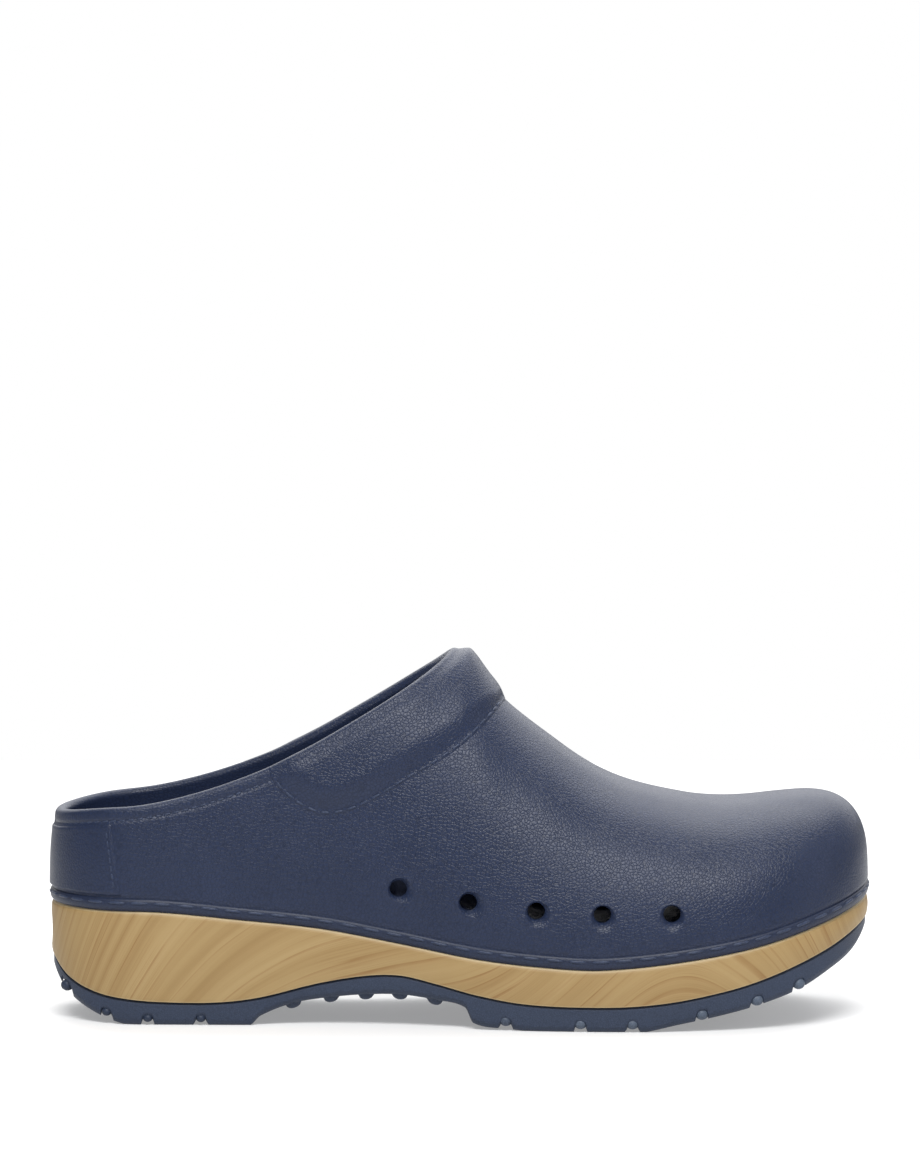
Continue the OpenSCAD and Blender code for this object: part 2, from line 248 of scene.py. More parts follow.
def rim_t(x):
    """The parameter t at the rim of the mouth, or on the ridge where the upper is closed."""
    return np.where((x <= BACK_X + 1e-9) | (x >= THROAT_X - 1e-9), np.pi / 2, t_at(x, rim_z(x)))


def stations(end, step, height=None, low=None, high=None):
    """Places along the clog, as far apart as step on its outline or its ridge, whichever is steeper."""
    x = -end * np.cos(np.linspace(0, np.pi, 20001))
    if low is not None:
        x = x[(x >= low) & (x <= high)]
        x = np.concatenate([[low], x, [high]])
    w = np.maximum(half_width(x, -1, HALF - end), half_width(x, 1, HALF - end))
    z = height(x) if height else 0 * x
    walk = np.concatenate([[0], np.cumsum(np.sqrt(np.diff(x) ** 2 + np.diff(w) ** 2 + np.diff(z) ** 2))])
    return np.interp(np.linspace(0, walk[-1], int(walk[-1] / step) + 2), walk, x)


# ---------------------------------------------------------------- meshes
class Builder:
    """Collects grids of points that may share vertices, and their faces."""

    def __init__(self):
        self.points, self.faces, self.count = [], [], 0

    def add(self, points):
        points = np.asarray(points, float)
        flat = points.reshape(-1, 3)
        self.points.append(flat)
        ids = np.arange(self.count, self.count + len(flat)).reshape(points.shape[:-1])
        self.count += len(flat)
        return ids

    def grid(self, ids):
        a, b, c, d = ids[:-1, :-1], ids[1:, :-1], ids[1:, 1:], ids[:-1, 1:]
        for quad in np.stack([a, b, c, d], -1).reshape(-1, 4):
            self.cap(quad)

    def cap(self, loop):
        """One face round a loop of points, left out where the points fall together."""
        face = list(dict.fromkeys(int(i) for i in loop))
        if len(face) > 2:
            self.faces.append(face)

    def sleeve(self, rings):
        """Faces between closed rings of points."""
        ids = self.add(rings)
        self.grid(np.concatenate([ids, ids[:, :1]], 1))
        return ids

    def plug(self, rings):
        """A sleeve with both its ends closed."""
        ids = self.sleeve(rings)
        self.cap(ids[0])
        self.cap(ids[-1][::-1])

    def make(self, name, smooth_angle=40):
        """Mesh object of all the faces, from points in millimetres."""
        data = bpy.data.meshes.new(name)
        data.from_pydata((np.concatenate(self.points) / 1000).tolist(), [], self.faces)
        data.validate()
        bm = bmesh.new()
        bm.from_mesh(data)
        bmesh.ops.remove_doubles(bm, verts=bm.verts, dist=2e-7)
        bmesh.ops.recalc_face_normals(bm, faces=bm.faces)
        bm.to_mesh(data)
        bm.free()
        data.polygons.foreach_set("use_smooth", [True] * len(data.polygons))
        data.set_sharp_from_angle(angle=math.radians(smooth_angle))
        obj = bpy.data.objects.new(name, data)
        bpy.context.collection.objects.link(obj)
        return obj


def circle(count):
    """Evenly spaced angles all the way round."""
    return np.linspace(0, 2 * np.pi, count + 1)[:-1]


def walked(line):
    """Distance covered at each point of a line of points."""
    return np.concatenate([[0], np.cumsum(np.linalg.norm(np.diff(line, axis=0), axis=1))])


def pick(line, walk, marks):
    """Points at distances along a line of points."""
    return np.stack([np.interp(marks, walk, line[:, k]) for k in range(3)], -1)


def nearest(points, line):
    """Distance of each point from a line of points."""
    tree = KDTree(len(line))
    for i, p in enumerate(line):
        tree.insert(p, i)
    tree.balance()
    return np.array([tree.find(p)[2] for p in points.reshape(-1, 3)]).reshape(points.shape[:-1])


def resample(line, step):
    """Points a step apart along a line of points."""
    walk = walked(line)
    return pick(line, walk, np.linspace(0, walk[-1], max(2, int(round(walk[-1] / step)) + 1)))


def cut_out(obj, cutter):
    """Take the cutter's shape out of a piece."""
    mod = obj.modifiers.new("cut", "BOOLEAN")
    mod.operation, mod.object, mod.solver = "DIFFERENCE", cutter, "MANIFOLD"
    bpy.context.view_layer.update()
    graph = bpy.context.evaluated_depsgraph_get()
    data = bpy.data.meshes.new_from_object(obj.evaluated_get(graph))
    obj.modifiers.clear()
    old, obj.data = obj.data, data
    data.name = obj.name
    bpy.data.meshes.remove(old)
    bpy.data.objects.remove(cutter)


# ---------------------------------------------------------------- upper
def bulge(points):
    """The wall swells out a little over the welt, most of all round the heel and the toe."""
    h = points[..., 2] - top_z(points[..., 0])
    full = 0.3 + 0.45 * smooth(0.75 * HALF, 0.97 * HALF, np.abs(points[..., 0]))
    return full * smooth(WELT_H - 0.6, WELT_H + 1.3, h) * (1 - 0.6 * smooth(14, 34, h))


def column_marks(length, count):
    """Distances along a column: close together near both ends, evenly spread between."""
    fine, step = 6.0, 0.5
    zone = min(fine, 0.28 * length)
    k = int(round(fine / step))
    low = np.linspace(0, zone, k + 1)
    between = np.linspace(zone, length - zone, count - 2 * k + 1)[1:-1]
    return np.concatenate([low, between, length - low[::-1]])


def columns(xs, ends, count, start_height=0.0):
    """Parameter t of each column's points, by distance along the wall."""
    rows = []
    share = np.linspace(0, 1, 400)
    for x, end in zip(xs, ends):
        row = []
        for side in (-1, 1):
            t = end * share
            p = skin(x, t, side)
            walk = walked(p)
            first = np.interp(min(start_height, 0.9 * (p[-1, 2] - p[0, 2])), p[:, 2] - p[0, 2], walk)
            marks = first + column_marks(walk[-1] - first, count)
            row.append(np.interp(marks, walk, t))
        rows.append(row)
    return np.array(rows)


def rim_line(side):
    """Points along the rim on one side, closer together at both ends of the mouth."""
    x = BACK_X + (THROAT_X - BACK_X) * (1 - np.cos(np.linspace(0, np.pi, 1500))) / 2
    return skin(x, rim_t(x), side)


RIM_LINE = np.concatenate([rim_line(-1), rim_line(1)[::-1]])


def up_the_wall(line, normals):
    """Direction up along the wall and square to the line, at each point of a line on the wall."""
    along = unit(np.gradient(line, axis=0))
    up = unit(np.cross(along, normals))
    return np.where(up[..., 2:] < 0, -up, up)


def add_halves(made, grid, closed):
    """Add a sheet of two halves, joined along the ridge in its closed rows."""
    middle = (grid[closed, 0, -1] + grid[closed, 1, -1]) / 2
    grid[closed, 0, -1] = middle
    grid[closed, 1, -1] = middle
    ids = made.add(grid)
    ids[closed, 1, -1] = ids[closed, 0, -1]
    return ids


def make_upper():
    end = HALF - SHELL_INSET
    ridge = lambda x: np.minimum(top_z(x) + rise(x, SHELL_INSET), np.where(x < THROAT_X, rim_z(x), 999))
    heel = stations(end, 0.9, ridge, -end + 0.002, BACK_X)
    mouth = stations(end, 0.8, ridge, BACK_X, THROAT_X)
    toe = stations(end, 0.9, ridge, THROAT_X, end - 0.002)
    # The opening starts and ends in a smooth turn, so its rows are closer there
    turn = (1 - np.cos(np.linspace(0, np.pi, 260))) / 2
    mouth = np.unique(np.concatenate([mouth, BACK_X + (THROAT_X - BACK_X) * turn]))
    keep = [0]
    for k in range(1, len(mouth)):
        near = min(abs(mouth[k] - BACK_X), abs(mouth[k] - THROAT_X))
        if mouth[k] - mouth[keep[-1]] >= 0.04 + min(0.5, 0.3 * near):
            keep.append(k)
    mouth = mouth[keep]
    mouth[-1] = THROAT_X
    xs = np.concatenate([heel[:-1], mouth, toe[1:]])
    first, last = len(heel) - 1, len(heel) - 2 + len(mouth)
    ends = rim_t(xs)
    sides = np.array([-1, 1])[None, :, None]
    outer = skin(xs[:, None, None], columns(xs, ends, 66), sides)
    normal = out(outer)
    inner = skin(xs[:, None, None], columns(xs, ends, 44, FLOOR), sides)
    inner = inner - WALL * out(inner)
    inner[..., 2] = np.maximum(inner[..., 2], top_z(inner[..., 0]) + FLOOR)
    # The lowest row is the edge of the floor inside
    inner[:, :, 0, 2] = top_z(inner[:, :, 0, 0]) + FLOOR
    # Stitch groove under the rim, and the swelling over the welt
    from_rim = nearest(outer, RIM_LINE)
    groove = 0.42 * np.exp(-(((from_rim - 2.6) / 0.55) ** 2)) * smooth(-58, -64, xs)[:, None, None]
    shown = outer + (bulge(outer) - groove)[..., None] * normal
    shown[:, :, 0] = outer[:, :, 0]
    closed = (xs <= BACK_X + 1e-9) | (xs >= THROAT_X - 1e-9)
    made = Builder()
    o, i = add_halves(made, shown, closed), add_halves(made, inner, closed)
    for s in (0, 1):
        made.grid(o[:, s])
        made.grid(i[:, s])
    # The rolled rim: half a round from the outside to the inside
    turns = np.linspace(0, np.pi, 13)[1:-1]
    for s in (0, 1):
        line, facing = shown[first:last + 1, s, -1], inner[first:last + 1, s, -1]
        n = unit(line - facing)
        up = up_the_wall(line, n)
        middle = (line + facing) / 2
        radius = np.linalg.norm(line - middle, axis=1)[:, None, None]
        ring = middle[:, None] + radius * (np.cos(turns)[None, :, None] * n[:, None]
                                           + np.sin(turns)[None, :, None] * up[:, None])
        r = made.add(ring)
        if s == 0:
            first_rim = r
        else:
            r[0], r[-1] = first_rim[0], first_rim[-1]
        made.grid(np.concatenate([o[first:last + 1, s, -1:], r, i[first:last + 1, s, -1:]], 1))
    # Floor inside and flat base underneath
    share = np.linspace(0, 1, 10)[1:-1][None, :, None]
    for grid, ids in ((shown, o), (inner, i)):
        a, b = grid[:, 0, :1], grid[:, 1, :1]
        ids_mid = made.add(a + (b - a) * share)
        made.grid(np.concatenate([ids[:, 0, :1], ids_mid, ids[:, 1, :1]], 1))
        for k in (0, -1):
            made.cap([*ids[k, 0], *ids[k, 1][::-1], *ids_mid[k][::-1]])
    return made.make("clog_upper")


def make_vent_cutters():
    """One round cutter per vent, its mouth flared into a soft lip."""
    profile = [(-9, VENT_R), (-1.3, VENT_R), (-1.1, VENT_R + 0.08), (-0.3, VENT_R + 0.85), (4, VENT_R + 5.5)]
    turn = circle(48)
    made = Builder()
    for s, z in VENTS:
        for side in (-1, 1):
            x = at(s)
            p = skin(x, t_at(x, z), side)
            p = p + bulge(p)[..., None] * out(p)
            made.plug([np.stack([x + r * np.cos(turn), np.full(48, p[1] + side * a), z + r * np.sin(turn)],
                                -1) for a, r in profile])
    return made.make("vent_cutters")


# ---------------------------------------------------------------- collar, counter and welt
def collar_edge(side):
    """The collar's edge on one side: down its back end, then along its lower edge to the tip."""
    x = np.linspace(COLLAR_BACK, COLLAR_TIP, 900)
    z = curve(COLLAR_EDGE, station(x))
    rear = np.linspace(1, 0, 30)[:-1]
    lead = skin(COLLAR_BACK, t_at(COLLAR_BACK, z[0] + rear * (rim_z(COLLAR_BACK) - z[0])), side)
    return np.concatenate([lead, skin(x, np.minimum(t_at(x, z), rim_t(x)), side)])


def collar_lift(d, rim, x, t, steep):
    """Height of the collar over the wall, from its distance to its edge and to the rim."""
    s = station(x)
    front = smooth(37, 48, s) * smooth(0.45, 0.97, t / (np.pi / 2))
    side_pad = 2.6
    full = side_pad + (curve(RIDGE_PAD, s) * steep - side_pad) * front
    # A thin stitched flange along the edge, then the padding, a little flatter at the rim
    flange = 0.7 * smooth(-0.1, 0.9, d) - 0.3
    start = 1.9 - 0.9 * front
    reach = 8.5 - 5.0 * front
    pad = (full - 0.45) * np.sin(np.pi / 2 * np.clip((d - start) / reach, 0, 1)) ** 1.3
    near_rim = 1 - smooth(0, 4.5, rim)
    return flange + pad * (1 - 0.4 * near_rim)


def make_collar():
    xs = np.concatenate([np.arange(COLLAR_BACK, THROAT_X - 3, 0.6), np.linspace(THROAT_X - 3, THROAT_X, 22),
                         np.linspace(THROAT_X, COLLAR_TIP, 46)[1:]])
    low = np.minimum(t_at(xs, curve(COLLAR_EDGE, station(xs))), rim_t(xs) - 0.002)
    count = 46
    share = np.linspace(0, 1, 300)
    sheets, angles = [], []
    for side in (-1, 1):
        rows = []
        for x, a, b in zip(xs, low, rim_t(xs)):
            t = a + (b - a) * share
            p = skin(x, t, side)
            walk = walked(p)
            # Closer together near the edge, where the flange and the padding start
            zone = min(8.0, 0.5 * walk[-1])
            marks = np.concatenate([np.linspace(0, zone, 18), np.linspace(zone, walk[-1], count - 17)[1:]])
            rows.append(np.interp(marks, walk, t))
        angles.append(np.array(rows))
        sheets.append(skin(xs[:, None], angles[-1], side))
    base = np.stack(sheets, 1)
    normal = out(base)
    edge = np.concatenate([collar_edge(-1), collar_edge(1)])
    lift = collar_lift(nearest(base, edge), nearest(base, RIM_LINE), xs[:, None, None],
                       np.stack(angles, 1), np.maximum(normal[..., 2], 0.3))
    over = base + lift[..., None] * normal
    under = base - 0.9 * normal
    closed = xs >= THROAT_X - 1e-9
    made = Builder()
    o, u = add_halves(made, over, closed), add_halves(made, under, closed)
    last = np.flatnonzero(~closed)[-1] + 1
    turns = np.linspace(0, np.pi, 17)[1:]
    depths = np.linspace(0.8, 7, 9)
    previous = None
    for s in (0, 1):
        made.grid(o[:, s])
        made.grid(u[:, s])
        line, n = over[:last + 1, s, -1], normal[:last + 1, s, -1]
        up = up_the_wall(base[:last + 1, s, -1], n)
        inside = base[:last + 1, s, -1] - (WALL + 0.15) * n
        middle = (line + inside) / 2
        radius = np.linalg.norm(line - inside, axis=1)[:, None, None] / 2
        height = ROLL + 0.25 * (radius - ROLL)
        ring = middle[:, None] + (radius * np.cos(turns)[None, :, None] * n[:, None]
                                  + height * np.sin(turns)[None, :, None] * up[:, None])
        # Inside the mouth the padding runs down the wall and fades into it
        fade = np.interp(depths, [0.8, 4, 7], [0, 0, 1])
        lining = (inside[:, None] - depths[None, :, None] * up[:, None]
                  + 0.5 * fade[None, :, None] * n[:, None])
        r = made.add(np.concatenate([ring, lining], 1))
        if s == 1:
            r[-1] = previous[-1]
        previous = r
        made.grid(np.concatenate([o[:last + 1, s, -1:], r, u[:last + 1, s, -1:]], 1))
        made.grid(np.stack([o[:, s, 0], u[:, s, 0]], 1))
        made.cap([*o[0, s], *r[0], *u[0, s][::-1]])
    return made.make("clog_collar", smooth_angle=75)


def counter_point(share, up, side):
    """Point of the heel panel: share is 0 at the back and 1 at its front edge, up is 0 to 1 in height."""
    def height(x):
        low, high = top_z(x) + WELT_H + 0.35, rim_z(x) - 3.3
        return low + (high - low) * up

    back = heel_end(height, -HALF + SHELL_INSET)
    front = at(COUNTER_REACH[0]) + (at(COUNTER_REACH[1]) - at(COUNTER_REACH[0])) * up
    x = back + (front - back) * share**2
    return skin(x, t_at(x, height(x)), side)


def make_counter():
    across, up = 181, 47
    s = np.linspace(-1, 1, across)
    side = np.where(s < 0, -1, 1)
    base = np.stack([counter_point(np.abs(s), k, side) for k in np.linspace(0, 1, up)], 1)
    normal = out(base)
    edges = (base[0], base[-1], base[:, 0], base[:, -1])
    d = np.min([nearest(base, resample(edge, 0.1)) for edge in edges], 0)
    lift = bulge(base) + 0.85 * np.sin(np.pi / 2 * np.clip(d, 0, 1)) - 0.35
    made = Builder()
    o = made.add(base + lift[..., None] * normal)
    u = made.add(base - 0.8 * normal)
    made.grid(o)
    made.grid(u)
    for top, under in ((o[0], u[0]), (o[-1], u[-1]), (o[:, 0], u[:, 0]), (o[:, -1], u[:, -1])):
        made.grid(np.stack([top, under], 1))
    return made.make("heel_counter_panel")


def outline(inset, count=420):
    """Plan outline of the clog at an inset, from the heel round the outer side and back on the inner."""
    end = HALF - inset
    x = -end * np.cos(np.linspace(0, np.pi, count))
    outer = np.stack([x, centre(x) - half_width(x, -1, inset)], -1)
    inner = np.stack([x, centre(x) + half_width(x, 1, inset)], -1)
    return np.concatenate([outer, inner[-2:0:-1]])


def loop_band(made, levels):
    """Faces between outlines given as (inset, height function). Returns the ids of every level."""
    rings = []
    for inset, height in levels:
        plan = outline(inset)
        rings.append(np.column_stack([plan, height(plan[:, 0])]))
    return made.sleeve(rings)


def make_welt():
    made = Builder()
    profile = [(WELT_INNER + 1.2, 0.02), (WELT_INSET + 1.15, 0.02), (WELT_INSET + 0.75, 0.2),
               (WELT_INSET + 0.3, 0.65), (WELT_INSET + 0.08, 1.2), (WELT_INSET, 1.9),
               (WELT_INSET + 0.02, 2.7), (WELT_INSET + 0.14, 3.3), (WELT_INSET + 0.4, 3.8),
               (WELT_INSET + 0.9, WELT_H), (WELT_INNER + 1.2, WELT_H + 0.05)]
    ids = loop_band(made, [(inset, lambda x, h=h: top_z(x) + h) for inset, h in profile])
    made.grid(np.stack([np.append(ids[-1], ids[-1][0]), np.append(ids[0], ids[0][0])], 1))
    return made.make("welt_strip")


# ---------------------------------------------------------------- stitches
def stitch_row(name, line, normals, pitch, length, width, height):
    """Raised stitches along a line of points: each is a short rounded bar, bent with the line."""
    walk = walked(line)
    number = int(walk[-1] / pitch)
    start = (walk[-1] - number * pitch + pitch - length) / 2
    along = np.linspace(-1, 1, 9)
    taper = np.sqrt(np.maximum(0.0, 1 - along**4)) * 0.92 + 0.08
    around = circle(10)
    made = Builder()
    for k in range(number):
        marks = start + k * pitch + length * (along + 1) / 2
        if marks[-1] > walk[-1]:
            break
        p = pick(line, walk, marks)
        n = unit(pick(normals, walk, marks))
        t = unit(np.gradient(p, axis=0))
        b = unit(np.cross(t, n))
        made.plug(p[:, None] + (width / 2) * (taper[:, None] * np.cos(around))[..., None] * b[:, None]
                  + height * (taper[:, None] * np.sin(around))[..., None] * n[:, None])
    return made.make(name, smooth_angle=60)


def wrap_line(height, front, lift):
    """Line round the heel at a height that varies along the clog, from the outer side to the inner."""
    back = heel_end(height, -HALF + SHELL_INSET + 1e-6)
    x = back + (front - back) * np.linspace(0, 1, 900) ** 3
    sides = [skin(x, t_at(x, height(x)), side) for side in (-1, 1)]
    line = resample(np.concatenate([sides[0][::-1], sides[1][1:]]), 0.3)
    n = out(line)
    return line + lift * n, n


def topline_height(x):
    """Height of the stitches under the rim, at the same distance from it wherever it slopes."""
    slope = np.gradient(rim_z(x), x) if np.ndim(x) else 0.0
    return rim_z(x) - 2.55 * np.sqrt(1 + slope**2)


def make_stitches():
    made = []
    # Round the top line, from one end of the collar to the other
    line, n = wrap_line(topline_height, COLLAR_BACK - 1.5, -0.28)
    made.append(stitch_row("topline_stitches", line, n, pitch=3.0, length=2.2, width=0.8, height=0.38))
    # Round the edge of the collar
    x = np.concatenate([np.linspace(at(27.1), at(28), 60), np.linspace(at(28), at(55.2), 900)[1:]])
    for side, word in ((-1, "outer"), (1, "inner")):
        edge = resample(skin(x, np.minimum(t_at(x, curve(COLLAR_EDGE, station(x))), rim_t(x)), side), 0.3)
        n = out(edge)
        line = edge + 1.35 * up_the_wall(edge, n) + 0.4 * n
        name = f"collar_stitches_{word}"
        made.append(stitch_row(name, line, n, pitch=4.4, length=3.2, width=0.85, height=0.36))
    # Behind the front edges of the heel counter
    share = 0.955
    for side, word in ((-1, "outer"), (1, "inner")):
        line = np.array([counter_point(share, up, side) for up in np.linspace(0.05, 0.95, 60)])
        n = out(line)
        line = line + (bulge(line) + 0.47)[:, None] * n
        name = f"counter_stitches_{word}"
        made.append(stitch_row(name, line, n, pitch=2.7, length=2.0, width=0.7, height=0.3))
    # Long stitches along the top of the welt
    plan = outline(WELT_INSET + 0.06)
    ring = np.column_stack([plan, top_z(plan[:, 0]) + 2.75])
    line = resample(np.concatenate([ring, ring[:1]]), 0.4)
    tangent = unit(np.gradient(line, axis=0))
    n = unit(np.cross(np.array([0, 0, 1.0]), tangent))
    away = np.sign(np.sum(n[:, :2] * line[:, :2], 1))
    n = unit(n * away[:, None] + np.array([0, 0, 0.25]))
    made.append(stitch_row("welt_stitches", line, n, pitch=7.6, length=5.6, width=1.0, height=0.42))
    return made


# ---------------------------------------------------------------- sole
# Slope of the printed growth lines at places along the clog, as [x in millimetres, slope]
GRAIN_SLOPE = [[-135, 4.2], [-120, 2.6], [-105, 1.7], [-85, 1.0], [-60, 0.55], [-30, 0.22], [-8, 0.2],
               [12, 0.6], [35, 0.95], [52, 0.9], [64, 0.45], [72, 0.0], [82, -0.5], [98, -1.0],
               [112, -1.7], [135, -3.4]]


def grain_height(x):
    """Height of a printed growth line, which rises steeply at the heel and arches at the ball."""
    marks = np.linspace(-136, 136, 1200)
    slope = curve(GRAIN_SLOPE, marks)
    total = np.concatenate([[0], np.cumsum((slope[1:] + slope[:-1]) / 2 * np.diff(marks))])
    return np.interp(x, marks, total)


def make_midsole():
    def top(x):
        return top_z(x) - 0.05

    def low(x):
        return curve(SOLE_SPLIT, station(x))

    inset = MIDSOLE_INSET
    levels = [(inset + 0.6, low), (inset + 0.12, lambda x: low(x) + 0.15),
              (inset, lambda x: low(x) + 0.6)]
    for share in np.linspace(0, 1, 22)[1:-1]:
        levels.append((inset - 0.25 * math.sin(math.pi * share),
                       lambda x, k=share: low(x) + 0.6 + (top(x) - low(x) - 2.1) * k))
    levels += [(inset, lambda x: top(x) - 1.5), (inset + 0.1, lambda x: top(x) - 1.1),
               (inset + 0.26, lambda x: top(x) - 0.85), (inset + 0.42, lambda x: top(x) - 0.6),
               (inset + 0.75, lambda x: top(x) - 0.1), (inset + 3.0, top)]
    made = Builder()
    ids = loop_band(made, levels)
    half = ids.shape[1] // 2
    for ring in (ids[0], ids[-1]):
        left, right = ring[:half + 1], np.append(ring[half:], ring[0])[::-1]
        made.grid(np.stack([left, right], 1))
    piece = made.make("wood_look_midsole")
    cut_out(piece, make_badge("badge_cutter", grow=0.45, back=-2.0, front=MIDSOLE_INSET + 1.3))
    # The edge value marks a painted highlight: a pale line along the top and bottom edges of the band,
    # standing in for the light its chamfers catch.
    co = np.array([v.co for v in piece.data.vertices]) * 1000
    above = co[:, 2] - low(co[:, 0])
    below = top(co[:, 0]) - co[:, 2]
    values = {"growth": co[:, 2] - grain_height(co[:, 0]),
              "edge": np.maximum(1 - smooth(0.35, 0.85, below), 0.5 * (1 - smooth(0.2, 0.6, above)))}
    for name, value in values.items():
        piece.data.attributes.new(name, "FLOAT", "POINT").data.foreach_set("value", value.astype(np.float32))
    return piece


def make_badge(name, grow, back, front, rounded=0.0):
    """Upright oval plate between two depths from the heel's end: half rounds and a straight middle."""
    turn = circle(64)
    rings = []
    steps = [(back, rounded), (back + rounded * 0.3, rounded * 0.3), (back + rounded, 0), (front, 0)]
    for depth, less in steps:
        r = (BADGE_H + grow) / 2 - less
        y = r * np.cos(turn) + np.sign(np.round(np.cos(turn), 6)) * (BADGE_W - BADGE_H) / 2
        rings.append(np.column_stack([np.full(64, -HALF + depth), y, BADGE_Z + r * np.sin(turn)]))
    made = Builder()
    made.plug(rings)
    return made.make(name)


def arch_nubs():
    """Middles of the round nubs under the arch, in rows across the sole."""
    found = []
    margin = 4.2
    for s in NUB_ROWS:
        x = at(s)
        low, high = centre(x) - half_width(x, -1, OUTSOLE_INSET), centre(x) + half_width(x, 1, OUTSOLE_INSET)
        for k in np.linspace(0, 1, 6):
            found.append((x, low + margin + (high - low - 2 * margin) * k))
    return found


def groove(off):
    """Depth of a tread groove at a distance from its middle: flat, with rounded sides."""
    return NOTCH_DEPTH * np.clip(1 - (np.abs(off) / (NOTCH_WIDTH / 2)) ** 4, 0, 1) ** 0.5


def tread_bottom(x, y, d):
    """Height of the underside of the outsole; d is the distance from its edge."""
    z = np.maximum(0, curve(TREAD, station(x)))
    cut = np.zeros_like(z)
    for s in HEEL_NOTCHES + FORE_NOTCHES:
        cut = np.maximum(cut, groove(x - at(s)))
    for a, b, gap in LONG_GROOVES:
        middle = centre((at(a) + at(b)) / 2)
        ends = smooth(at(a) - 1, at(a) + 1, x) * (1 - smooth(at(b) - 1, at(b) + 1, x))
        cut = np.maximum(cut, groove(np.abs(y - middle) - gap) * ends)
    z = z + cut
    radius, height = 2.5, 1.9
    for nub_x, nub_y in arch_nubs():
        near = np.clip(1 - ((x - nub_x) ** 2 + (y - nub_y) ** 2) / radius**2, 0, 1)
        z = z - height * near**0.45
    edge = 2.4
    return z + edge - np.sqrt(np.maximum(0, edge**2 - (edge - np.minimum(d, edge)) ** 2))


def make_outsole():
    end = HALF - OUTSOLE_INSET
    xs = stations(end, 0.55, lambda x: np.maximum(0, curve(TREAD, station(x))))
    v = np.sin(np.linspace(-np.pi / 2, np.pi / 2, 141))
    low = centre(xs) - half_width(xs, -1, OUTSOLE_INSET)
    high = centre(xs) + half_width(xs, 1, OUTSOLE_INSET)
    x = np.repeat(xs[:, None], len(v), 1)
    y = (low + high)[:, None] / 2 + (high - low)[:, None] / 2 * v
    edge = outline(OUTSOLE_INSET, 1400)
    edge = np.column_stack([edge, np.zeros(len(edge))])
    d = nearest(np.stack([x, y, 0 * x], -1), edge)
    bottom = np.stack([x, y, tread_bottom(x, y, d)], -1)
    top = curve(SOLE_SPLIT, station(xs)) - 0.05
    made = Builder()
    b = made.add(bottom)
    made.grid(b)
    rows = {}
    share = np.linspace(0, 1, 8)[1:][None, :, None]
    # The wall's top turns in by the same amount as it rises
    tuck = 0.9
    x_in = xs * (end - tuck) / end
    for k, side in ((0, -1), (-1, 1)):
        start = bottom[:, k]
        goal = start.copy()
        goal[:, 2] = top - tuck
        wall = start[:, None] + (goal - start)[:, None] * share
        y_in = centre(x_in) + side * half_width(x_in, side, OUTSOLE_INSET + tuck)
        wall = np.concatenate([wall, np.stack([x_in, y_in, top], -1)[:, None]], 1)
        ids = np.concatenate([b[:, k:k + 1] if k == 0 else b[:, -1:], made.add(wall)], 1)
        made.grid(ids)
        rows[k] = ids[:, -1]
    made.grid(np.stack([rows[0], rows[-1]], 1))
    return made.make("outsole_tread")


def make_tread_nubs():
    """Round nubs in the ends of the notches, along both sides of the tread."""
    turn = circle(28)
    rings = np.linspace(0, np.pi, 15)
    small, large = (1.6, 1.4), (2.15, 1.9)
    made = Builder()
    for s in HEEL_NOTCHES + FORE_NOTCHES:
        for side in (-1, 1):
            x = at(s)
            wide, high = small if 5 < s < 50 else large
            y = centre(x) + side * (half_width(x, side, OUTSOLE_INSET) - wide + 0.2)
            # On the parts that stand on the ground the nubs sit deeper in their notches
            depth = 0.9 if 5 < s < 75 else 0.1
            z = max(0.0, float(curve(TREAD, s))) + high + depth
            ball = np.stack([x + wide * np.outer(np.sin(rings), np.cos(turn)),
                             y + wide * np.outer(np.sin(rings), np.sin(turn)),
                             z + high * np.repeat(np.cos(rings)[:, None], len(turn), 1)], -1)
            made.sleeve(ball)
    return made.make("tread_nubs")


